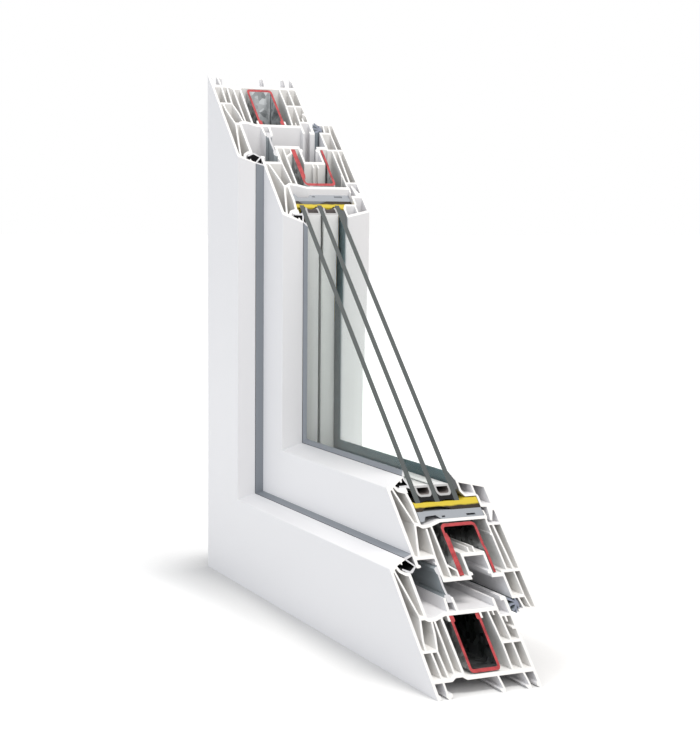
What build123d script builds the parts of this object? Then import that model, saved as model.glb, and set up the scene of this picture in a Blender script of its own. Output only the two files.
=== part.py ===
from build123d import *
import math
import os

# Corner sample of a triple-glazed PVC window, in millimetres.
# X runs along the sill from the outer corner, Y from the exterior face to the
# interior, Z up the jamb. The origin is the outer bottom corner of the frame's
# exterior face. Section points are (y, w), with w the distance from the outer edge.

# Overall size
sill_length = 436.0
jamb_height = 436.0

# How far the rough bars reach past the cuts that trim them
cut_margin = 5.0

# Walls of the PVC profiles
main_wall = 2.2
thin_wall = 1.9
web = 1.4
edge_radius = 1.0
small_edge_radius = 0.5

# Outer frame
frame_depth = 80.0
fin_height = 8.8
frame_tier = 25.7
rebate_height = 45.9
frame_face_height = 72.7
frame_bevel_rise = 5.7
frame_lip_depth = 14.6
frame_bevel_setback = 0.4
frame_bevel_end = 1.3
frame_front_chamber = 8.4
frame_second_chamber = 13.1
frame_third_chamber = 19.1
steel_chamber_front = 25.8
steel_chamber_rear_margin = 17.9
frame_rear_chamber_margin = 8.8
frame_floor_drop = 2.2
trough_depth = 1.7
rear_upstand = 5.4
gasket_slot_front = 33.7
gasket_slot_width = 4.3
gasket_slot_height = 7.7
striker_groove_width = 7.1
striker_groove_depth = 9.6
striker_mouth = 4.6
second_foot = 51.3
rear_foot_margin = 8.6

# Frame steel
frame_steel_wall = 2.0
frame_steel_bend = 2.8
frame_steel_foot_gap = 0.9
frame_steel_return = 3.4
frame_steel_return_height = 3.7
frame_steel_front_gap = 5.3
frame_steel_rear_gap = 7.3
steel_rib = 1.6
steel_rib_height = 3.2
frame_steel_left = steel_chamber_front + frame_steel_front_gap
frame_steel_right = frame_depth - steel_chamber_rear_margin - frame_steel_rear_gap
frame_steel_width = frame_steel_right - frame_steel_left

# Sash
sash_setback = 20.7
sash_bottom = 62.4
sash_lip_bottom = 71.7
sash_lip_depth = 3.6
sash_face_top = 120.5
sash_bevel_rise = 6.8
sash_bevel_depth = 15.9
sash_seat_depth = 16.7
sash_bevel_end = 1.6
sash_step_depth = 16.2
sash_web_level = 77.3
sash_web_offset = 0.35
sash_diagonal_node = 11.5
glass_floor = 99.1
overlap_bottom = 41.3
overlap_depth = 17.0
overlap_clearance = 4.8
sash_depth = frame_depth + overlap_clearance + overlap_depth - sash_setback
overlap_tier = 65.2
overlap_slot_top = 49.8
hardware_groove_width = 16.0
hardware_groove_depth = 13.5
hardware_groove_mouth = 12.3
hardware_groove_rear_margin = 25.7
bead_slot_floor = 94.5
bead_wall_margin = 11.9

# Sash steel
sash_steel_wall = 2.0
sash_steel_groove_gap = 8.9
sash_steel_side_gap = 0.8
sash_steel_foot_gap = 0.6
sash_steel_height = 31.1

# Glass unit
pane = 4.0
pane_gap = 12.0
glass_front_gap = 2.1
glass_clearance = 10.6
glass_tip_trim = 3.0
spacer_height = 7.2
spacer_wall = 1.4
spacer_bend = 3.0
spacer_tip_trim = 4.2
sealant_depth = 3.6
sealant_hollow = 1.2
sealant_tip_radius = 9.0

# Gaskets
gasket_arm = 0.9
gasket_lip = 1.3
frame_lip_rise = 7.5
frame_seat_length = 4.6
frame_seat_drop = 2.4
frame_seat_fall = 1.1
centre_gasket_rise = 3.8
centre_gasket_wall = 1.6
glazing_lip_rise = 3.4
glazing_seat_drop = 7.4
glazing_seat_margin = 1.2
bead_gasket_width = 3.2
bead_gasket_drop = 6.6
bead_gasket_rise = 5.6

# Bead
bead_top_front = 122.8
bead_top_rear = 118.0
bead_bottom = 101.9
bead_rear_step = 0.8
bead_wall = 1.6
bead_roof = 1.8
bead_nose_height = 7.8
bead_leg_depth = 11.7
bead_floor_rise = 9.8
bead_web_offset = 0.35

# Packers and bridges under the glass
packer_plate = 2.9
packer_rear_rise = 1.2
packer_rise_gap = 2.1
packer_length = 100.0
packer_side_gap = 0.3
jamb_packer_recess = 5.0
bridge_height = 5.2
bridge_slot_width = 7.3
bridge_slot_height = 1.3

# Steel ends stop short of the mitre
steel_corner_gap = 28.0


# Helpers
def band(points, thickness):
    """A wall of even thickness along a run of section points."""
    left = []
    right = []
    count = len(points)
    for i in range(count):
        if i == 0:
            d1 = d2 = direction(points[0], points[1])
        elif i == count - 1:
            d1 = d2 = direction(points[-2], points[-1])
        else:
            d1 = direction(points[i - 1], points[i])
            d2 = direction(points[i], points[i + 1])
        n1 = (-d1[1], d1[0])
        n2 = (-d2[1], d2[0])
        bis = (n1[0] + n2[0], n1[1] + n2[1])
        size = math.hypot(bis[0], bis[1])
        bis = (bis[0] / size, bis[1] / size)
        reach = thickness / 2 / (bis[0] * n1[0] + bis[1] * n1[1])
        left.append((points[i][0] + bis[0] * reach, points[i][1] + bis[1] * reach))
        right.append((points[i][0] - bis[0] * reach, points[i][1] - bis[1] * reach))
    return area(*(right + left[::-1]))


def direction(a, b):
    size = math.hypot(b[0] - a[0], b[1] - a[1])
    return ((b[0] - a[0]) / size, (b[1] - a[1]) / size)


def block(y0, w0, y1, w1):
    """A rectangle between two section corners."""
    return area((y0, w0), (y1, w0), (y1, w1), (y0, w1))


def area(*points):
    """A closed outline, always drawn counter-clockwise so that outlines fuse."""
    twice = 0.0
    for a, b in zip(points, points[1:] + points[:1]):
        twice += a[0] * b[1] - b[0] * a[1]
    if twice < 0:
        points = points[::-1]
    return Polygon(*points, align=None)


def join(shapes):
    total = shapes[0]
    for shape in shapes[1:]:
        total = total + shape
    return total


def rounded(section, radius, *corners):
    """The section with an edge radius at each named corner."""
    picked = []
    for y, w in corners:
        picked.append(section.vertices().sort_by_distance((y, w, 0))[0])
    return fillet(picked, radius)


def mitred_region(length, height, high, cut_back, start):
    """The part of the X-Z plane that a horizontal leg may fill.

    It ends at the mitre x = z and at the diagonal cut from (length, 0) to (0, height).
    """
    low = -cut_margin
    cut = 1.0 - cut_back / length
    points = [
        (low, low),
        (length * (cut - low / height), low),
        (length * (cut - high / height), high),
        (high, high),
    ]
    region = extrude(Plane.XZ * Polygon(*points, align=None), amount=2 * frame_depth, both=True)
    if start > 0:
        keep = Box(length, 4 * frame_depth, 2 * height, align=(Align.MIN, Align.CENTER, Align.CENTER))
        region = region & (Pos(start, 0, 0) * keep)
    return region


def leg(section, length, height, cut_back=0.0, start=0.0):
    high = section.bounding_box().max.Y + cut_margin
    body = extrude(Plane.YZ * section, amount=length + 2 * cut_margin)
    return body & mitred_region(length, height, high, cut_back, start)


def to_jamb(shape):
    return mirror(shape, about=Plane(origin=(0, 0, 0), z_dir=(1, 0, -1)))


def welded(section):
    sill = leg(section, sill_length, jamb_height)
    jamb = to_jamb(leg(section, jamb_height, sill_length))
    return (sill + jamb).clean()


def save(shape, node):
    solids = shape.solids()
    print(node, "solids", len(solids), "volume", round(sum(s.volume for s in solids), 1))
    export_step(shape, "parts/" + node + ".step")


# Outer frame section
def frame_seat_level(y):
    """Top of the seat that carries the outer gasket."""
    slope = frame_seat_fall / frame_seat_length
    return frame_face_height - frame_seat_drop - slope * (y - frame_lip_depth + frame_seat_length)


def frame_section():
    rear = frame_depth
    wall_mid = fin_height + main_wall / 2
    floor = rebate_height - main_wall / 2
    low_floor = floor - frame_floor_drop
    lip_rear = frame_lip_depth
    steel_front = steel_chamber_front
    steel_rear = rear - steel_chamber_rear_margin
    last_web = rear - frame_rear_chamber_margin
    top = frame_face_height
    bevel_end = top + frame_bevel_rise
    seat_end = lip_rear - frame_bevel_setback
    seat_front = lip_rear - frame_seat_length

    shapes = []
    # Exterior wall with the sloped top
    shapes.append(block(0, 0, main_wall - 0.1, top))
    shapes.append(area((0, top - 2.5), (0, top), (seat_end, bevel_end),
                       (seat_end, bevel_end - frame_bevel_end), (7.2, bevel_end - 4.0), (4.0, top - 0.6),
                       (thin_wall, top - 2.5)))
    shapes.append(area((0, 0), (3.1, 0.6), (3.1, 2.4), (1.8, 3.2), (0, 3.2)))
    # Small hook under the sloped top
    shapes.append(area((seat_end - 4.4, bevel_end - 2.6), (seat_end - 4.1, bevel_end - 3.8),
                       (seat_end - 3.3, bevel_end - 3.9), (seat_end - 2.9, bevel_end - 2.0)))
    # Outer wall with its shallow trough
    shapes.append(band([(0.5, wall_mid), (15.4, wall_mid), (18.6, wall_mid + trough_depth),
                        (24.4, wall_mid + trough_depth), (27.2, wall_mid),
                        (rear - 0.5, wall_mid)], main_wall))
    # Interior wall down to the floor
    shapes.append(block(rear - main_wall, 0, rear, rebate_height + rear_upstand))
    shapes.append(area((rear - 3.4, 0.9), (rear - 1.0, 0), (rear, 0), (rear, 3.4),
                       (rear - main_wall, 3.4), (rear - 3.4, 2.4)))
    # Fins under the outer wall
    shapes.append(band([(frame_front_chamber + 0.3, wall_mid), (frame_front_chamber + 0.1, 1.6)], web))
    shapes.append(area((7.2, 1.2), (8.3, 0), (9.9, 0), (12.4, 2.0), (12.0, 3.1), (9.4, 2.6),
                       (9.1, 4.0), (7.8, 3.2)))
    for foot in (second_foot, rear - rear_foot_margin):
        shapes.append(band([(foot - 1.2, wall_mid), (foot, 3.0), (foot, 1.6)], web))
        shapes.append(area((foot - 3.6, 1.9), (foot - 2.3, 0), (foot, 0), (foot + 0.7, 1.2),
                           (foot + 0.7, 3.2), (foot - 1.0, 1.9), (foot - 2.2, 1.6), (foot - 3.0, 2.8)))
    # Webs of the exterior chambers
    shapes.append(band([(frame_front_chamber + 0.4, wall_mid), (frame_front_chamber - 0.3, frame_tier)], web))
    shapes.append(band([(1.0, frame_tier), (frame_second_chamber + 0.2, frame_tier)], web))
    shapes.append(band([(frame_second_chamber + 0.7, wall_mid), (frame_second_chamber - 0.3, frame_tier),
                        (15.5, frame_tier + 8.2), (17.1, low_floor)], web))
    shapes.append(band([(frame_third_chamber, wall_mid + trough_depth),
                        (frame_third_chamber, low_floor)], web))
    shapes.append(band([(steel_front - 0.2, wall_mid + 0.9), (steel_front - 0.9, floor - 1.3)], web + 0.3))
    shapes.append(band([(4.5, frame_tier), (5.2, frame_tier + 6.2), (9.0, floor - 1.2)], web))
    # Rebate floor with the lowered front part
    shapes.append(band([(8.3, floor - 0.9), (12.4, floor - 0.9), (lip_rear + 0.3, low_floor),
                        (20.3, low_floor), (28.0, floor), (last_web - 1.2, floor)], main_wall))
    # Rebate front wall, its diagonal and the gasket seat
    shapes.append(block(lip_rear - main_wall, low_floor, lip_rear, top - 4.3))
    shapes.append(band([(9.4, floor - 1.2), (2.7, top + 0.2)], web))
    shapes.append(band([(5.5, top + 1.4), (6.0, top + 0.2), (7.3, top - 1.9), (seat_front + 0.4, top - 3.5)],
                       thin_wall))
    shapes.append(area((seat_front, frame_seat_level(seat_front)), (lip_rear, frame_seat_level(lip_rear)),
                       (lip_rear, top - 5.6), (seat_front - 0.2, top - 4.4)))
    # Slot for the centre gasket
    slot = gasket_slot_front
    slot_rear = slot + gasket_slot_width
    slot_top = rebate_height + gasket_slot_height
    shapes.append(band([(slot - 1.7, floor), (slot - 0.7, slot_top)], thin_wall))
    shapes.append(band([(slot_rear + 1.2, floor), (slot_rear + 0.7, slot_top)], thin_wall))
    # Chambers behind the steel
    shapes.append(band([(steel_rear + 0.9, wall_mid), (steel_rear + 1.2, frame_tier),
                        (steel_rear - 0.3, floor)], web))
    shapes.append(band([(last_web, wall_mid), (last_web - 0.1, frame_tier),
                        (last_web - 1.0, rebate_height - 5.9)], web))
    shapes.append(band([(steel_rear + 1.0, frame_tier + 0.4), (rear - 1.0, frame_tier + 0.4)], web))
    # Striker groove on the interior edge
    groove_left = rear - main_wall - striker_groove_width
    groove_floor = rebate_height + 5.1 - striker_groove_depth
    shapes.append(block(groove_left - 2.0, floor - 0.9, groove_left, rebate_height + rear_upstand - 0.5))
    shapes.append(band([(groove_left - 1.3, floor), (last_web - 0.9, rebate_height - 6.2)], web))
    shapes.append(block(last_web - 1.2, groove_floor - web, rear - 0.5, groove_floor))
    shapes.append(block(groove_left + striker_mouth, rebate_height + 3.0, rear - 0.5,
                        rebate_height + rear_upstand))
    # Small ribs in the interior chambers
    shapes.append(block(steel_rear + 3.0, rebate_height - 4.6, steel_rear + 4.0, floor))
    shapes.append(area((rear - 6.9, groove_floor - 1.0), (rear - 6.8, groove_floor - 4.5),
                       (rear - 5.7, groove_floor - 4.5), (rear - 5.5, groove_floor - 1.0)))
    shapes.append(area((rear - main_wall + 0.3, frame_tier + 8.6), (rear - 4.6, frame_tier + 8.0),
                       (rear - 4.6, frame_tier + 7.0), (rear - main_wall + 0.3, frame_tier + 6.6)))
    # Ribs that hold the steel
    rib_foot = rebate_height - main_wall - steel_rib_height
    shapes.append(block(frame_steel_left - steel_rib, rib_foot, frame_steel_left, floor))
    shapes.append(block(frame_steel_right, rib_foot, frame_steel_right + steel_rib, floor))
    section = join(shapes)
    section = rounded(section, edge_radius, (0, top), (rear, rebate_height + rear_upstand))
    return rounded(section, small_edge_radius, (seat_end, bevel_end), (lip_rear, frame_seat_level(lip_rear)),
                   (groove_left - 2.0, rebate_height + rear_upstand - 0.5))


def frame_steel_section():
    left = frame_steel_left
    top = rebate_height - main_wall
    bottom = fin_height + main_wall + frame_steel_foot_gap
    width = frame_steel_width
    height = top - bottom
    t = frame_steel_wall
    outer = Rectangle(width, height, align=(Align.MIN, Align.MIN))
    outer = fillet(outer.vertices(), frame_steel_bend)
    inner = Rectangle(width - 2 * t, height, align=(Align.MIN, Align.MIN))
    inner = fillet(inner.vertices().sort_by(Axis.Y)[:2], frame_steel_bend - t + 0.2)
    shape = (Pos(left, bottom) * outer) - (Pos(left + t, bottom + t) * inner)
    # The strip ends are rolled inwards
    curl = RectangleRounded(frame_steel_return, frame_steel_return_height, edge_radius)
    curl_height = top - frame_steel_return_height / 2
    for side in (-1, 1):
        middle = left + width / 2 + side * (width - frame_steel_return) / 2
        shape = shape + Pos(middle, curl_height) * curl
    return shape


# Sash section
def hardware_groove_left():
    return sash_setback + sash_depth - hardware_groove_rear_margin - hardware_groove_width


def sash_steel_left():
    return hardware_groove_left() - sash_steel_groove_gap


def sash_section():
    front = sash_setback
    rear = sash_setback + sash_depth
    step = front + sash_step_depth
    bottom = sash_bottom
    bottom_mid = sash_bottom + main_wall / 2
    floor = glass_floor - thin_wall / 2
    groove_left = hardware_groove_left()
    groove_right = groove_left + hardware_groove_width
    groove_top = bottom + hardware_groove_depth
    lip = (hardware_groove_width - hardware_groove_mouth) / 2
    bevel_rear = front + sash_bevel_depth
    seat_rear = front + sash_seat_depth
    bevel_top = sash_face_top + sash_bevel_rise
    flange = rear - overlap_depth
    node = front + sash_diagonal_node
    bead_wall_y = rear - bead_wall_margin

    shapes = []
    # Exterior wall with its lip and sloped top
    shapes.append(block(front, sash_lip_bottom, front + main_wall + 0.1, sash_face_top))
    shapes.append(area((front, sash_lip_bottom), (front + sash_lip_depth, sash_lip_bottom + 0.3),
                       (front + sash_lip_depth, sash_lip_bottom + 1.5), (front + 2.2, sash_lip_bottom + 2.2)))
    shapes.append(area((front, sash_face_top - 2.5), (front, sash_face_top),
                       (bevel_rear - 6.9, bevel_top - 2.9), (bevel_rear, bevel_top),
                       (bevel_rear, bevel_top - sash_bevel_end), (bevel_rear - 6.2, bevel_top - 4.6),
                       (front + 2.0, sash_face_top - 2.5)))
    # Small hook under the sloped top
    shapes.append(area((seat_rear - 4.1, bevel_top - 2.4), (seat_rear - 3.7, bevel_top - 4.2),
                       (seat_rear - 2.7, bevel_top - 4.2), (seat_rear - 2.2, bevel_top - 1.9)))
    # Front web and step wall
    shapes.append(band([(front + 1.0, sash_web_level), (step + 1.6, sash_web_level)], thin_wall))
    shapes.append(block(step, bottom, step + thin_wall + 0.1, sash_web_level + 0.9))
    shapes.append(area((step + 0.4, sash_web_level - 2.9), (step - 0.9, sash_web_level - 3.6),
                       (step - 0.9, sash_web_level - 4.6), (step + 0.4, sash_web_level - 5.0)))
    shapes.append(band([(step + 1.2, sash_web_level), (step + 3.0, glass_floor - 5.0)], web))
    rib = sash_steel_left()
    middle_web = (step + rib) / 2 + sash_web_offset
    shapes.append(band([(middle_web, bottom_mid), (middle_web - 0.2, glass_floor - 3.2)], web))
    shapes.append(block(step, bottom, groove_left, bottom + main_wall))
    # Rib that holds the steel, with its brace
    shapes.append(block(rib - 1.2, bottom + 1.0, rib, bottom + 6.2))
    shapes.append(band([(middle_web, bottom + 9.7), (rib - 0.9, bottom + 6.1)], web - 0.2))
    # Hardware groove
    shapes.append(block(groove_left - 1.7, bottom + 0.5, groove_left, groove_top + 1.0))
    shapes.append(block(groove_left - 1.7, groove_top, groove_right + thin_wall, groove_top + 2.0))
    shapes.append(block(groove_right, bottom, groove_right + thin_wall, groove_top + 1.0))
    shapes.append(area((groove_left - 1, bottom + 1.6), (groove_left, bottom + 2.2),
                       (groove_left + lip, bottom + 2.4), (groove_left + lip, bottom + 4.0),
                       (groove_left, bottom + 4.9), (groove_left - 1, bottom + 4.9)))
    shapes.append(area((groove_right + 1, bottom + 1.6), (groove_right, bottom + 2.2),
                       (groove_right - lip, bottom + 2.4), (groove_right - lip, bottom + 4.0),
                       (groove_right, bottom + 4.9), (groove_right + 1, bottom + 4.9)))
    shapes.append(block(groove_left + 5.2, groove_top + 1.0, groove_left + 6.3, groove_top + 5.3))
    shapes.append(block(groove_left + 9.6, groove_top + 1.0, groove_left + 10.8, groove_top + 5.5))
    shapes.append(block(groove_right + 0.5, bottom, flange + 1.6, bottom + main_wall))
    # Diagonals of the exterior chamber
    shapes.append(band([(front + 3.8, sash_face_top + 0.7), (node, floor - 1.1),
                        (front + 4.9, sash_web_level + 0.6)], web))
    # Glazing rebate floor
    shapes.append(band([(node - 0.3, floor - 1.0), (node + 2.3, floor - 1.3), (step + 0.4, floor - 2.9),
                        (step + 6.2, floor - 2.4), (step + 15.6, floor), (rear - 10.4, floor)],
                       thin_wall))
    # Rebate front wall and seat of the glazing gasket
    shapes.append(band([(step - 1.1, floor - 2.4), (step - 1.1, sash_face_top - 11.4),
                        (step - 2.3, sash_face_top - 4.4)], thin_wall))
    shapes.append(band([(seat_rear - 10.4, bevel_top - 4.4), (seat_rear - 9.8, bevel_top - 6.8),
                        (seat_rear - 8.2, bevel_top - 9.0), (seat_rear - 5.3, bevel_top - 9.9),
                        (seat_rear - 2.2, bevel_top - 10.6)], thin_wall))
    seat = bevel_top - glazing_seat_drop
    shapes.append(area((seat_rear - 7.6, bevel_top - 9.6),
                       (seat_rear - glazing_seat_margin, bevel_top - 10.9),
                       (seat_rear - glazing_seat_margin, seat), (seat_rear - 7.0, seat)))
    # Interior chambers
    shapes.append(band([(bead_wall_y, overlap_tier), (bead_wall_y, bead_slot_floor + 0.4)], web))
    shapes.append(block(bead_wall_y - 1.5, sash_web_level + 9.6, bead_wall_y - 0.4, sash_web_level + 10.8))
    shapes.append(band([(rear - 6.4, overlap_tier), (rear - 8.1, bead_slot_floor - 1.0)], web))
    shapes.append(band([(flange + 0.5, overlap_tier), (rear - 1.0, overlap_tier)], web))
    shapes.append(block(rear - main_wall, overlap_bottom, rear, bead_bottom))
    # Slot that holds the foot of the bead
    shapes.append(band([(rear - 11.4, floor + 0.4), (bead_wall_y, bead_slot_floor + 0.2),
                        (rear - 10.8, bead_slot_floor - 0.8), (rear - 1.0, bead_slot_floor - 0.9)], web))
    shapes.append(band([(rear - 10.6, floor), (rear - 11.3, glass_floor + 3.0)], web - 0.2))
    # Overlap onto the frame with its gasket slot
    shapes.append(block(flange, overlap_slot_top - 0.4, flange + 1.8, overlap_tier + 0.4))
    shapes.append(block(flange + 0.2, overlap_slot_top - 0.4, rear - 6.4, overlap_slot_top + 1.1))
    shapes.append(band([(rear - 12.1, overlap_slot_top + 0.2), (rear - 10.6, overlap_bottom + 1.0)], web))
    shapes.append(block(flange + 1.2, overlap_bottom, rear, overlap_bottom + thin_wall))
    shapes.append(band([(rear - 6.8, overlap_tier), (rear - 6.8, overlap_slot_top + 0.6),
                        (rear - 5.2, overlap_bottom + 1.0)], web - 0.3))
    section = join(shapes)
    section = rounded(section, edge_radius, (front, sash_face_top), (rear, overlap_bottom))
    return rounded(section, small_edge_radius, (front, sash_lip_bottom), (bevel_rear, bevel_top),
                   (front + sash_lip_depth, sash_lip_bottom + 0.3))


def sash_steel_section():
    t = sash_steel_wall
    left = sash_steel_left()
    inner_right = hardware_groove_left() + hardware_groove_width + thin_wall + sash_steel_side_gap
    foot = sash_bottom + main_wall + sash_steel_foot_gap
    top = foot + sash_steel_height
    # Outer leg, top and rear leg in one bent strip
    shape = band([(left + t / 2, foot), (left + t / 2, top - 3.0),
                  (left + t / 2 + 0.7, top - t / 2 - 0.8), (left + t / 2 + 2.4, top - t / 2),
                  (inner_right - 2.0, top - t / 2), (inner_right - 0.2, top - t / 2 - 0.8),
                  (inner_right + 0.4, top - 3.0), (inner_right + 0.4, foot + 17.2),
                  (inner_right + t / 2, foot + 13.2), (inner_right + t / 2, foot)], t)
    # Folded front leg
    fold = band([(left + 1.4 * t, foot), (left + 1.45 * t, top - 9.0), (left + t, top - 6.0)], t)
    return shape + fold


# Glass unit
def glass_fronts():
    first = sash_setback + sash_step_depth + glass_front_gap
    return [first + i * (pane + pane_gap) for i in range(3)]


def glass_edge():
    return glass_floor + glass_clearance


def glass_tip():
    """Height of the unit's sharp upper tip on the diagonal cut."""
    return jamb_height * (1 - glass_edge() / sill_length)


def pane_sheet(front):
    edge = glass_edge()
    end_x = sill_length * (1 - edge / jamb_height)
    end_z = glass_tip() - glass_tip_trim
    tip_x = sill_length * (1 - end_z / jamb_height)
    outline = Polygon((edge, edge), (end_x, edge), (tip_x, end_z), (edge, end_z), align=None)
    return Pos(0, front, 0) * extrude(Plane.XZ * outline, amount=-pane)


def blunted(shape, front):
    """Takes the sharp upper end off what lies between two panes, with a rounded dip."""
    level = glass_tip() - spacer_tip_trim
    middle = front + pane + pane_gap / 2
    rise = math.sqrt(sealant_tip_radius ** 2 - (pane_gap / 2) ** 2)
    above = Box(sill_length, 4 * frame_depth, jamb_height, align=(Align.MIN, Align.CENTER, Align.MIN))
    dip = Cylinder(sealant_tip_radius, sill_length, rotation=(0, 90, 0))
    above = Pos(0, 0, level) * above
    dip = Pos(glass_edge(), middle, level + rise) * dip
    return shape - above - dip


def spacer_outline(front, inset):
    """The spacer's bent outline, moved inwards by a wall."""
    y0 = front + pane + inset
    y1 = front + pane + pane_gap - inset
    low = glass_edge() + sealant_depth + inset
    high = glass_edge() + sealant_depth + spacer_height - inset
    outline = block(y0, low, y1, high)
    return fillet(outline.vertices().sort_by(Axis.Y)[:2], spacer_bend - inset / 2)


def spacer_section(front):
    return spacer_outline(front, 0.0) - spacer_outline(front, spacer_wall)


def sealant_section(front):
    y0 = front + pane
    y1 = y0 + pane_gap
    low = glass_edge()
    rise = (pane_gap ** 2 / 4 - sealant_hollow ** 2) / (2 * sealant_hollow)
    hollow = Pos((y0 + y1) / 2, low - rise) * Circle(rise + sealant_hollow)
    return block(y0, low, y1, low + sealant_depth + spacer_bend) - spacer_outline(front, 0.0) - hollow


# Bead
def bead_nose():
    return glass_fronts()[2] + pane + bead_gasket_width


def bead_section():
    rear = sash_setback + sash_depth
    nose = bead_nose()
    back = rear - bead_rear_step
    low = bead_bottom
    top0 = bead_top_front
    top1 = bead_top_rear
    foot = bead_slot_floor + 1.4
    nose_low = top0 - bead_nose_height
    leg_front = rear - bead_leg_depth
    under = low + bead_floor_rise
    outer = area((nose, nose_low), (nose, top0), (back, top1), (back, low), (rear - 3.4, low),
                 (rear - 7.0, foot), (rear - 8.4, foot), (rear - 7.0, low + 2.4), (leg_front, low + 2.6),
                 (leg_front, under), (nose + 2.6, under))
    slope = (top1 - top0) / (back - nose)
    a0 = nose + bead_wall
    b1 = back - thin_wall
    a1 = (a0 + b1 - web) / 2 + bead_web_offset
    b0 = a1 + web
    b_low = leg_front + 1.7
    chamber_a = area((a0, nose_low + 1.0), (a0, top0 + slope * (a0 - nose) - bead_roof),
                     (a1, top0 + slope * (a1 - nose) - bead_roof), (a1, under + 1.5), (a0 + 1.6, under + 1.5))
    chamber_b = area((b0, under + 1.2), (b0, top0 + slope * (b0 - nose) - bead_roof),
                     (b1, top0 + slope * (b1 - nose) - bead_roof), (b1, low + 4.4), (b_low, low + 4.4),
                     (b_low, under - 0.2))
    section = outer - chamber_a - chamber_b
    return rounded(section, edge_radius, (back, top1), (nose, top0))


# Gaskets
def frame_gasket_section():
    lip = frame_lip_depth
    face = sash_setback
    top = frame_face_height
    bevel = top + frame_bevel_rise
    root = lip - frame_bevel_setback
    reach = top + frame_lip_rise
    tip = (face, top - 0.1)
    heel = (lip, frame_seat_level(lip))
    toe = (lip - frame_seat_length / 2, frame_seat_level(lip - frame_seat_length / 2))
    shapes = [
        # Lip that covers the joint
        area((root, bevel - frame_bevel_end), (root, bevel), (face, reach), (face, reach - gasket_lip),
             (root + 1.4, bevel - 1.1)),
        # Hollow bulb: two arms that meet at the sash
        area((root, bevel - frame_bevel_end), (root + 1.4, bevel - 1.1), (face, tip[1] + 0.7), tip,
             (face - 0.9, tip[1])),
        area(tip, (face, tip[1] + 0.7), (face - 0.9, tip[1] + 0.5), (lip + 0.3, heel[1] + 1.2), heel,
             (lip + 1.6, heel[1] + 0.1)),
        # Foot on the seat
        area(heel, (lip + 0.3, heel[1] + 1.2), (lip - 5.1, top - 0.3), (lip - 5.4, top - 1.2), toe),
    ]
    return join(shapes)


def centre_gasket_section():
    slot = gasket_slot_front
    slot_rear = slot + gasket_slot_width
    mid = slot + gasket_slot_width / 2
    top = rebate_height + gasket_slot_height
    wall = sash_setback + sash_step_depth
    seal = sash_bottom + centre_gasket_rise
    foot = area((slot + 0.25, top - 2.8), (slot_rear - 0.15, top - 2.8), (slot_rear - 0.3, top),
                (slot_rear + 0.7, top), (slot_rear - 0.2, top + 1.6), (slot, top + 1.6), (slot - 0.7, top),
                (slot + 0.45, top))
    stem = band([(mid, top + 0.5), (mid - 0.6, (top + seal) / 2), (wall - 1.3, seal + 2.4)],
                centre_gasket_wall)
    bulb = area((wall - 2.8, seal + 1.4), (wall, seal), (wall, seal + 5.4), (wall - 1.8, seal + 5.2),
                (wall - 3.3, seal + 4.2))
    return join([foot, stem, bulb])


def sash_gasket_section():
    rear = sash_setback + sash_depth
    flange = rear - overlap_depth
    face = frame_depth
    low = overlap_bottom + thin_wall
    high = overlap_slot_top - 0.4
    shapes = [
        # Anchor between the slot walls
        area((flange + 1.4, low), (flange + 2.6, low), (flange + 2.6, high), (flange + 1.4, high)),
        area((flange + 0.2, low + 2.0), (flange + 3.3, low + 1.6), (flange + 3.3, low + 4.6),
             (flange + 0.2, low + 4.8)),
        # Arms onto the frame
        area((face, low + 5.8), (flange, low + 4.0), (flange + 1.0, low + 4.6), (flange - 1.6, low + 6.2),
             (face, low + 6.7)),
        area((face, low + 1.4), (face + 2.4, low + 2.4), (flange + 0.6, low + 2.6), (flange + 0.6, low + 3.8),
             (face + 2.2, low + 3.4), (face, low + 2.6)),
        # Short fingers
        band([(flange + 0.6, low + 2.2), (flange - 1.4, low), (flange - 3.4, low - 0.7)], gasket_arm),
        band([(flange + 0.6, low + 2.2), (flange - 0.1, low - 0.4), (flange - 1.4, low - 2.2)], gasket_arm),
    ]
    return join(shapes)


def glazing_gasket_section():
    glass = glass_fronts()[0]
    bevel = sash_face_top + sash_bevel_rise
    root = sash_setback + sash_bevel_depth
    seat_rear = sash_setback + sash_seat_depth - glazing_seat_margin
    seat = bevel - glazing_seat_drop
    end = bevel - sash_bevel_end
    heel = seat + gasket_lip
    shapes = [
        # Lip that covers the joint
        area((root, end), (root, bevel), (glass, bevel + glazing_lip_rise), (glass, bevel + 1.2),
             (root + 0.7, end + 0.3)),
        # Arm from the lip down to the pane
        area((root, end), (root + 0.7, end + 0.3), (glass, heel + 0.9), (glass, heel - 0.6),
             (glass - 0.8, heel - 0.2), (root - 0.3, end - 0.6)),
        # Foot on the seat
        area((seat_rear - 5.2, seat), (seat_rear, seat), (glass, seat - 0.9), (glass, heel),
             (seat_rear, heel), (seat_rear - 5.0, seat + 1.1)),
    ]
    return join(shapes)


def bead_gasket_section():
    glass = glass_fronts()[2] + pane
    nose = bead_nose()
    low = bead_top_front - bead_gasket_drop
    return area((glass, low), (nose, low + 1.0), (nose, bead_top_front - 1.2),
                (glass, bead_top_front + bead_gasket_rise))


# Packers and glazing bridges under the glass
def packer_section():
    y0 = sash_setback + sash_step_depth + packer_side_gap
    y1 = sash_setback + sash_depth - bead_wall_margin - packer_side_gap
    top = glass_edge()
    low = glass_floor + bridge_height
    rear_top = top + packer_rear_rise
    under = top - packer_plate
    rise = glass_fronts()[2] + pane + packer_rise_gap
    return area((y0, low), (y0 + 4.6, low), (y0 + 6.4, low + 1.6), (y0 + 8.5, under), (y0 + 21.0, under),
                (y0 + 26.5, low + 1.2), (y0 + 30.0, low), (y1, low), (y1, rear_top), (rise + 3.0, rear_top),
                (rise, top), (y0, top))


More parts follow.
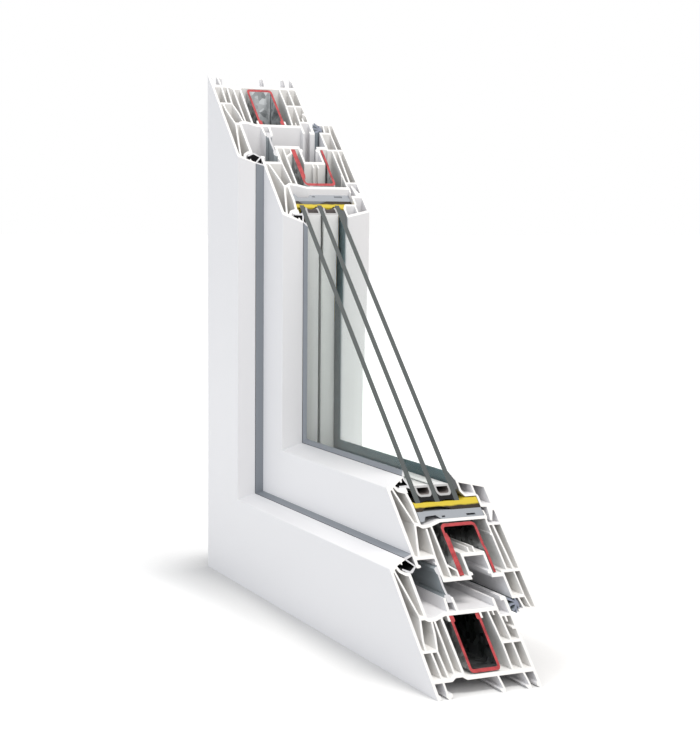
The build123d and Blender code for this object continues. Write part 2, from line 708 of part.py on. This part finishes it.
def bridge_section():
    y0 = sash_setback + sash_step_depth + packer_side_gap
    y1 = sash_setback + sash_depth - bead_wall_margin - packer_side_gap
    floor = glass_floor
    top = glass_floor + bridge_height
    body = area((y0, floor - 0.9), (y0 + 3.2, floor - 0.7), (y0 + 5.5, top - 3.0), (y0 + 14.0, top - 2.6),
                (y0 + 17.5, floor), (y1, floor), (y1, top), (y0, top))
    slot_low = floor + 0.9
    slot = block(y1 - 6.4 - bridge_slot_width, slot_low, y1 - 6.4, slot_low + bridge_slot_height)
    small_slot = block(y0 + 18.5, slot_low, y0 + 21.2, floor + 2.0)
    return body - slot - small_slot


def build():
    os.makedirs("parts", exist_ok=True)
    save(welded(frame_section()), "outer_frame")
    save(welded(sash_section()), "sash_frame")

    frame_steel = frame_steel_section()
    frame_start = rebate_height + steel_corner_gap
    save(leg(frame_steel, sill_length, jamb_height, 0.0, frame_start), "frame_steel_sill")
    save(to_jamb(leg(frame_steel, jamb_height, sill_length, 0.0, frame_start)), "frame_steel_jamb")

    sash_steel = sash_steel_section()
    sash_start = glass_floor + steel_corner_gap
    save(leg(sash_steel, sill_length, jamb_height, 0.0, sash_start), "sash_steel_rail")
    save(to_jamb(leg(sash_steel, jamb_height, sill_length, 0.0, sash_start)), "sash_steel_jamb")

    bead = bead_section()
    save(leg(bead, sill_length, jamb_height), "glazing_bead_rail")
    save(to_jamb(leg(bead, jamb_height, sill_length)), "glazing_bead_jamb")

    save(welded(frame_gasket_section()), "frame_outer_gasket")
    save(welded(centre_gasket_section()), "centre_gasket")
    save(welded(sash_gasket_section()), "sash_inner_gasket")
    save(welded(glazing_gasket_section()), "glazing_gasket")
    save(welded(bead_gasket_section()), "bead_gasket")

    fronts = glass_fronts()
    save(pane_sheet(fronts[0]), "glass_outer")
    save(pane_sheet(fronts[1]), "glass_middle")
    save(pane_sheet(fronts[2]), "glass_inner")
    for front, place in ((fronts[0], "outer"), (fronts[1], "inner")):
        save(blunted(welded(spacer_section(front)), front), "spacer_" + place)
        save(blunted(welded(sealant_section(front)), front), "sealant_" + place)

    packer = packer_section()
    bridge = bridge_section()
    rail_start = sill_length * (1 - glass_edge() / jamb_height) - packer_length
    jamb_start = jamb_height * (1 - glass_edge() / sill_length) - packer_length
    save(leg(packer, sill_length, jamb_height, 0.0, rail_start), "packer_rail")
    save(leg(bridge, sill_length, jamb_height, 0.0, rail_start), "bridge_rail")
    save(to_jamb(leg(packer, jamb_height, sill_length, jamb_packer_recess, jamb_start)), "packer_jamb")
    save(to_jamb(leg(bridge, jamb_height, sill_length, jamb_packer_recess, jamb_start)), "bridge_jamb")


build()
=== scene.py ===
import math

import bpy
from mathutils import Matrix, Vector


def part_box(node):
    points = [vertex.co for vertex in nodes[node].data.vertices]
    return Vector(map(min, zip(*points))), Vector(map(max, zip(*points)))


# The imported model, in metres. The outer edges of its two legs lie at x = 0 and z = 0,
# and one diagonal saw cut runs from the sill's end to the jamb's end.
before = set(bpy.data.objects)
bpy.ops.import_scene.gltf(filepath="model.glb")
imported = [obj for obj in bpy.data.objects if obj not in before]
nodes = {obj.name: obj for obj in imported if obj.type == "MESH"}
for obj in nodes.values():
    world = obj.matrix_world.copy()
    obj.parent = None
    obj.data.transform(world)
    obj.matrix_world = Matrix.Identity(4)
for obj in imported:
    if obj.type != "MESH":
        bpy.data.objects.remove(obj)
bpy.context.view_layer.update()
frame_low, frame_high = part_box("outer_frame")
sill_reach = frame_high.x - frame_low.x
jamb_reach = frame_high.z - frame_low.z
cut_normal = Vector((jamb_reach, 0.0, sill_reach)).normalized()

# How faces are told apart
cut_alignment = 0.99
corner_digits = 6

# Depth of the lip that each exterior gasket shows outside its joint; the faces below it get a painted shade
frame_gasket_lip = 0.0019
sash_gasket_lip = 0.0035

# The packers turn from a dark painted shade, which stands in for the gap under their plate, to yellow between
# these distances from the outer edge
packer_painted_shade_low = 0.1058
packer_painted_shade_high = 0.1068
packer_painted_shade_waver = 0.0012

# How far the panes are drawn in from the rubber that touches them
pane_draw_in = 0.00005

# Patterns of the materials, as a scale along X, Y and Z
moulding_ripple = (60.0, 60.0, 60.0)
saw_marks = (200.0, 900.0, 200.0)
zinc_crystals = (260.0, 260.0, 260.0)
fine_grain = (900.0, 900.0, 900.0)
colour_patches = (200.0, 200.0, 200.0)

# Camera at the photograph's viewing angle, with its sensor and lens in millimetres
camera_place = Vector((1.3258, -0.4840, 0.3164))
camera_target = Vector((0.1826, 0.0553, 0.1894))
camera_roll = math.radians(0.48)
camera_range = 50.0
sensor_width = 36.0
focal_length = 76.27
lens_shift = (-0.0025, -0.0019)

# Studio
white = (1.0, 1.0, 1.0, 1.0)
world_level = 0.55
backdrop_level = 1.0
lamp_target = (0.2, 0.05, 0.2)
floor_middle = (0.2, 0.05, 0.0)
floor_size = 40.0
floor_near = 0.3
floor_far = 1.2
floor_lift_near = 0.36
floor_lift_far = 0.75
# Reach and strength of the painted contact shadow, which ambient occlusion darkens into the floor's glow
painted_contact_shadow_reach = 0.075
painted_contact_shadow_depth = 4.5


# Node helpers
def set_inputs(node, values):
    for name, value in values.items():
        node.inputs[name].default_value = value


def maths(parts, links, operation, *values):
    """The result of a maths node whose inputs are numbers or other nodes' outputs."""
    node = parts.new("ShaderNodeMath")
    node.operation = operation
    for socket, value in zip(node.inputs, values):
        if isinstance(value, float):
            socket.default_value = value
        else:
            links.new(value, socket)
    return node.outputs["Value"]


def new_material(name, roughness, gloss=0.5, colour=(0.8, 0.8, 0.8)):
    """A material with its nodes and links. The colour may be replaced by a ramp."""
    material = bpy.data.materials.new(name)
    material.use_nodes = True
    parts = material.node_tree.nodes
    set_inputs(parts["Principled BSDF"], {
        "Base Color": (*colour, 1.0),
        "Roughness": roughness,
        "Specular IOR Level": gloss,
    })
    return material, parts, material.node_tree.links


def pattern(parts, links, kind, scale):
    """A texture on object coordinates, so that its pattern keeps its real size."""
    coordinates = parts.new("ShaderNodeTexCoord")
    mapping = parts.new("ShaderNodeMapping")
    mapping.inputs["Scale"].default_value = scale
    links.new(coordinates.outputs["Object"], mapping.inputs["Vector"])
    texture = parts.new(kind)
    texture.inputs["Scale"].default_value = 1.0
    links.new(mapping.outputs["Vector"], texture.inputs["Vector"])
    return texture


def add_bump(parts, links, height, strength, distance):
    bump = parts.new("ShaderNodeBump")
    set_inputs(bump, {"Strength": strength, "Distance": distance})
    links.new(height, bump.inputs["Height"])
    links.new(bump.outputs["Normal"], parts["Principled BSDF"].inputs["Normal"])


def add_colours(parts, links, factor, first, second, start=0.0, end=1.0):
    """Colours the surface from the first colour to the second, as the factor goes from start to end."""
    ramp = parts.new("ShaderNodeValToRGB")
    low, high = ramp.color_ramp.elements
    low.position = start
    low.color = (*first, 1.0)
    high.position = end
    high.color = (*second, 1.0)
    links.new(factor, ramp.inputs["Fac"])
    links.new(ramp.outputs["Color"], parts["Principled BSDF"].inputs["Base Color"])


def plain(name, colour, roughness, gloss=0.5, grain=0.0):
    """One colour, with an optional fine grain."""
    material, parts, links = new_material(name, roughness, gloss, colour)
    if grain > 0:
        noise = pattern(parts, links, "ShaderNodeTexNoise", fine_grain)
        add_bump(parts, links, noise.outputs["Fac"], strength=grain, distance=0.0002)
    return material


# Materials of the PVC profiles
def white_pvc():
    """Moulded skin: satin, with a faint ripple."""
    material, parts, links = new_material("white_pvc", roughness=0.32, gloss=0.4, colour=(0.825, 0.82, 0.834))
    ripple = pattern(parts, links, "ShaderNodeTexNoise", moulding_ripple)
    add_bump(parts, links, ripple.outputs["Fac"], strength=0.05, distance=0.0004)
    return material


def sawn_pvc():
    """Fresh saw cut: matt, with fine marks across the diagonal plane."""
    material, parts, links = new_material("sawn_pvc", roughness=0.6, gloss=0.2, colour=(0.85, 0.84, 0.825))
    marks = pattern(parts, links, "ShaderNodeTexWave", saw_marks)
    marks.inputs["Distortion"].default_value = 1.5
    add_bump(parts, links, marks.outputs["Fac"], strength=0.15, distance=0.0001)
    return material


def grey_core():
    """Inside of the closed chambers."""
    return plain("grey_core", colour=(0.82, 0.81, 0.795), roughness=0.6, gloss=0.2)


# Materials of the steels
def galvanised_steel():
    """Zinc crystals of uneven brightness."""
    material, parts, links = new_material("galvanised_steel", roughness=0.3)
    parts["Principled BSDF"].inputs["Metallic"].default_value = 1.0
    crystals = pattern(parts, links, "ShaderNodeTexVoronoi", zinc_crystals)
    add_colours(parts, links, crystals.outputs["Color"], first=(0.12, 0.13, 0.135), second=(0.62, 0.64, 0.65))
    return material


def red_paint():
    """Paint on the steels' cut ends, with a fine grain and darker patches."""
    bright = (0.46, 0.055, 0.06)
    dark = (0.30, 0.03, 0.035)
    material = plain("red_paint", colour=bright, roughness=0.5, gloss=0.2, grain=0.3)
    parts = material.node_tree.nodes
    links = material.node_tree.links
    patches = pattern(parts, links, "ShaderNodeTexNoise", colour_patches)
    add_colours(parts, links, patches.outputs["Fac"], first=dark, second=bright, start=0.35, end=0.55)
    return material


# Materials of the gaskets
def slate_rubber():
    return plain("slate_rubber", colour=(0.19, 0.22, 0.245), roughness=0.5, grain=0.1)


def lip_rubber_painted_highlight():
    """Lips of the two exterior gaskets, paler than slate_rubber as a painted highlight."""
    return plain("lip_rubber_painted_highlight", colour=(0.235, 0.255, 0.285), roughness=0.45, grain=0.1)


def gasket_hollow_painted_shade():
    """Painted shade: near-black colour on the faces of the two exterior gaskets that lie inside the joint."""
    return plain("gasket_hollow_painted_shade", colour=(0.012, 0.012, 0.013), roughness=0.7, gloss=0.1)


# Slate rubber made darker and more teal as painted shade, for the bead gasket seen behind the panes.
def bead_rubber_painted_shade():
    return plain("bead_rubber_painted_shade", colour=(0.13, 0.20, 0.225), roughness=0.45, grain=0.1)


# Slate rubber made paler as painted light, for the centre gasket, which lies in shade.
def centre_rubber_painted_light():
    return plain("centre_rubber_painted_light", colour=(0.29, 0.325, 0.345), roughness=0.5, grain=0.1)


def sawn_rubber():
    return plain("sawn_rubber", colour=(0.62, 0.62, 0.64), roughness=0.6, gloss=0.2)


def sawn_slate_rubber():
    return plain("sawn_slate_rubber", colour=(0.22, 0.24, 0.30), roughness=0.6, gloss=0.2)


def sawn_dark_rubber():
    return plain("sawn_dark_rubber", colour=(0.085, 0.09, 0.095), roughness=0.6, gloss=0.2)


# Materials of the glass unit and of what carries it
def clear_glass():
    """Glass with a low refractive index, so that the rubber behind it isn't veiled."""
    material = plain("clear_glass", colour=(0.97, 0.99, 0.98), roughness=0.0)
    set_inputs(material.node_tree.nodes["Principled BSDF"], {
        "IOR": 1.15,
        "Transmission Weight": 1.0,
        "Specular Tint": (0.0, 0.0, 0.0, 1.0),
    })
    return material


def sawn_glass():
    return plain("sawn_glass", colour=(0.07, 0.08, 0.08), roughness=0.5, gloss=0.2, grain=0.2)


def spacer_bar():
    return plain("spacer_bar", colour=(0.84, 0.845, 0.84), roughness=0.45)


def sawn_spacer():
    return plain("sawn_spacer", colour=(0.42, 0.42, 0.42), roughness=0.5, gloss=0.2, grain=0.3)


# Painted shade: dark colour on the inner faces of the spacer tube, where only shade falls.
def spacer_inside_painted_shade():
    return plain("spacer_inside_painted_shade", colour=(0.17, 0.15, 0.145), roughness=0.7, gloss=0.1, grain=0.4)


def black_sealant():
    return plain("black_sealant", colour=(0.010, 0.010, 0.011), roughness=0.7, gloss=0.1, grain=0.3)


def yellow_packer():
    """Yellow plate over a dark painted shade, which stands in for the gap under the plate, with an uneven
    border.
    """
    material, parts, links = new_material("yellow_packer", roughness=0.45, gloss=0.15)
    coordinates = parts.new("ShaderNodeTexCoord")
    axes = parts.new("ShaderNodeSeparateXYZ")
    links.new(coordinates.outputs["Object"], axes.inputs["Vector"])
    edge_distance = maths(parts, links, "MINIMUM", axes.outputs["X"], axes.outputs["Z"])
    patches = pattern(parts, links, "ShaderNodeTexNoise", colour_patches)
    uneven = maths(parts, links, "MULTIPLY_ADD", patches.outputs["Fac"], -packer_painted_shade_waver, edge_distance)
    spread = parts.new("ShaderNodeMapRange")
    set_inputs(spread, {"From Min": packer_painted_shade_low, "From Max": packer_painted_shade_high})
    links.new(uneven, spread.inputs["Value"])
    # Painted shade for the dark gap under the plate
    gap_painted_shade = (0.022, 0.013, 0.006)
    yellow = (0.63, 0.485, 0.04)
    add_colours(parts, links, spread.outputs["Result"], first=gap_painted_shade, second=yellow)
    return material


def grey_bridge():
    return plain("grey_bridge", colour=(0.31, 0.33, 0.36), roughness=0.45, gloss=0.25)


# Which of a piece's faces get a material of their own
def edge_distance_of(point):
    """How far a point lies from the outer edge of its own leg."""
    return min(point.x, point.z)


def on_cut(face):
    return face.normal.dot(cut_normal) > cut_alignment


def chamber_faces(mesh):
    """Faces that meet the piece's outer skin only across the saw cut."""
    group = {}

    def root(key):
        while group[key] != key:
            group[key] = group[group[key]]
            key = group[key]
        return key

    def corners(face):
        return [tuple(round(c, corner_digits) for c in mesh.vertices[v].co) for v in face.vertices]

    faces = [face for face in mesh.polygons if not on_cut(face)]
    for face in faces:
        keys = corners(face)
        for key in keys:
            group.setdefault(key, key)
        for key in keys[1:]:
            group[root(key)] = root(keys[0])
    outermost = min(faces, key=lambda face: face.center.y)
    skin = root(corners(outermost)[0])
    return [face for face in faces if root(corners(face)[0]) != skin]


def tube_faces(mesh):
    """Inner faces of a bent tube, which get a painted shade: those that look towards its middle line."""
    distances = [edge_distance_of(vertex.co) for vertex in mesh.vertices]
    depths = [vertex.co.y for vertex in mesh.vertices]
    middle_distance = (min(distances) + max(distances)) / 2
    middle_depth = (min(depths) + max(depths)) / 2

    def looks_in(face):
        centre = face.center
        across = face.normal.x if centre.x < centre.z else face.normal.z
        inward = across * (middle_distance - edge_distance_of(centre))
        return face.normal.y * (middle_depth - centre.y) + inward > 0

    return [face for face in mesh.polygons if not on_cut(face) and looks_in(face)]


def faces_under_lip(lip_depth):
    """Picks a gasket's faces below its lip, which lie inside the joint and get a painted shade."""
    def pick(mesh):
        top = max(edge_distance_of(vertex.co) for vertex in mesh.vertices)

        def lowest(face):
            return min(edge_distance_of(mesh.vertices[v].co) for v in face.vertices)

        return [face for face in mesh.polygons if not on_cut(face) and lowest(face) < top - lip_depth]

    return pick


# Dressing the CAD pieces
def dress(node, skin, cut=None, inside=None, inner_faces=chamber_faces):
    """Gives a piece the materials of its skin, of its saw cut and of its inner faces."""
    mesh = nodes[node].data
    mesh.materials.clear()
    mesh.materials.append(skin)
    if cut is None:
        return
    mesh.materials.append(cut)
    for face in mesh.polygons:
        if on_cut(face):
            face.material_index = 1
    if inside is None:
        return
    mesh.materials.append(inside)
    for face in inner_faces(mesh):
        face.material_index = 2


def draw_in(node):
    """Draws a pane in by a hair, so that the rubber that touches it is seen through the glass."""
    shrink = nodes[node].modifiers.new("draw_in", "DISPLACE")
    shrink.mid_level = 0.0
    shrink.strength = -pane_draw_in


def dress_profiles():
    skin = white_pvc()
    cut = sawn_pvc()
    core = grey_core()
    for name in ("outer_frame", "sash_frame", "glazing_bead_rail", "glazing_bead_jamb"):
        dress(name, skin, cut, core)


def dress_steels():
    steel = galvanised_steel()
    paint = red_paint()
    for name in ("frame_steel_sill", "frame_steel_jamb", "sash_steel_rail", "sash_steel_jamb"):
        dress(name, steel, paint)


def dress_gaskets():
    lip = lip_rubber_painted_highlight()
    hollow_shade = gasket_hollow_painted_shade()
    cut = sawn_rubber()
    # Below their lips the exterior gaskets are painted near black, as shade inside the joint.
    dress("frame_outer_gasket", lip, cut, hollow_shade, faces_under_lip(frame_gasket_lip))
    dress("glazing_gasket", lip, cut, hollow_shade, faces_under_lip(sash_gasket_lip))
    dress("centre_gasket", centre_rubber_painted_light(), cut)
    dress("sash_inner_gasket", slate_rubber(), sawn_slate_rubber())
    dress("bead_gasket", bead_rubber_painted_shade(), sawn_dark_rubber())


def dress_glass_unit():
    glass = clear_glass()
    glass_cut = sawn_glass()
    for name in ("glass_outer", "glass_middle", "glass_inner"):
        dress(name, glass, glass_cut)
        draw_in(name)
    bar = spacer_bar()
    bar_cut = sawn_spacer()
    bar_painted_shade = spacer_inside_painted_shade()
    sealant = black_sealant()
    for place in ("outer", "inner"):
        dress("spacer_" + place, bar, bar_cut, bar_painted_shade, tube_faces)
        dress("sealant_" + place, sealant)


def dress_packers():
    yellow = yellow_packer()
    grey_blue = grey_bridge()
    for place in ("rail", "jamb"):
        dress("packer_" + place, yellow)
        dress("bridge_" + place, grey_blue)


# Camera
def add_camera():
    data = bpy.data.cameras.new("camera")
    data.sensor_width = sensor_width
    data.lens = focal_length
    data.shift_x, data.shift_y = lens_shift
    data.clip_end = camera_range
    camera = bpy.data.objects.new("camera", data)
    bpy.context.scene.collection.objects.link(camera)
    turn = (camera_target - camera_place).to_track_quat("-Z", "Y").to_matrix()
    roll = Matrix.Rotation(camera_roll, 3, "Z")
    camera.matrix_world = Matrix.Translation(camera_place) @ (turn @ roll).to_4x4()
    bpy.context.scene.camera = camera


# Studio
def add_area_light(name, place, size, power, colour):
    data = bpy.data.lights.new(name, "AREA")
    data.shape = "DISK"
    data.size = size
    data.energy = power
    data.color = colour
    lamp = bpy.data.objects.new(name, data)
    bpy.context.scene.collection.objects.link(lamp)
    lamp.location = place
    lamp.rotation_euler = (Vector(lamp_target) - Vector(place)).to_track_quat("-Z", "Y").to_euler()


def add_lamps():
    """A warm key light from above, a cool one from the exterior side and a weak one from the cut's side."""
    add_area_light("key", place=(0.6, 0.55, 2.6), size=1.3, power=41.0, colour=(1.0, 0.975, 0.945))
    add_area_light("fill", place=(0.0, -2.4, 1.2), size=2.0, power=20.5, colour=(0.87, 0.93, 1.0))
    add_area_light("side", place=(2.2, 0.0, 1.3), size=1.5, power=9.0, colour=(1.0, 0.98, 0.955))


def seen_directly(parts, links):
    """One where the camera looks, also through glass or in a reflection, and else zero."""
    rays = parts.new("ShaderNodeLightPath").outputs
    through_glass = maths(parts, links, "MAXIMUM", rays["Is Camera Ray"], rays["Is Transmission Ray"])
    return maths(parts, links, "MAXIMUM", through_glass, rays["Is Glossy Ray"])


def floor_lift(parts, links):
    """How much white the floor adds: more away from the object, so that no horizon shows, and less right
    beside the object, where ambient occlusion darkens the glow as a painted contact shadow."""
    coordinates = parts.new("ShaderNodeTexCoord")
    distance = parts.new("ShaderNodeVectorMath")
    distance.operation = "LENGTH"
    links.new(coordinates.outputs["Object"], distance.inputs[0])
    spread = parts.new("ShaderNodeMapRange")
    set_inputs(spread, {
        "From Min": floor_near,
        "From Max": floor_far,
        "To Min": floor_lift_near,
        "To Max": floor_lift_far,
    })
    links.new(distance.outputs["Value"], spread.inputs["Value"])
    # Painted contact shadow: ambient occlusion darkens the floor's glow beside the object
    contact = parts.new("ShaderNodeAmbientOcclusion")
    contact.inputs["Distance"].default_value = painted_contact_shadow_reach
    shade = maths(parts, links, "POWER", contact.outputs["AO"], painted_contact_shadow_depth)
    lift = maths(parts, links, "MULTIPLY", spread.outputs["Result"], shade)
    return maths(parts, links, "MULTIPLY", lift, seen_directly(parts, links))


def add_floor():
    bpy.ops.mesh.primitive_plane_add(size=floor_size, location=floor_middle)
    floor = bpy.context.object
    floor.name = "studio_floor"
    material, parts, links = new_material("studio_floor", roughness=0.9, gloss=0.0, colour=(0.7, 0.7, 0.7))
    shader = parts["Principled BSDF"]
    shader.inputs["Emission Color"].default_value = white
    links.new(floor_lift(parts, links), shader.inputs["Emission Strength"])
    floor.data.materials.append(material)


def add_world():
    """A soft even light on the object, before a backdrop that is seen as white."""
    world = bpy.data.worlds.new("studio")
    bpy.context.scene.world = world
    world.use_nodes = True
    parts = world.node_tree.nodes
    links = world.node_tree.links
    light = parts["Background"]
    set_inputs(light, {"Color": white, "Strength": world_level})
    backdrop = parts.new("ShaderNodeBackground")
    set_inputs(backdrop, {"Color": white, "Strength": backdrop_level})
    mix = parts.new("ShaderNodeMixShader")
    links.new(seen_directly(parts, links), mix.inputs["Fac"])
    links.new(light.outputs["Background"], mix.inputs[1])
    links.new(backdrop.outputs["Background"], mix.inputs[2])
    links.new(mix.outputs["Shader"], parts["World Output"].inputs["Surface"])


dress_profiles()
dress_steels()
dress_gaskets()
dress_glass_unit()
dress_packers()
add_camera()
add_floor()
add_world()
add_lamps()
bpy.context.scene.view_settings.view_transform = "Standard"
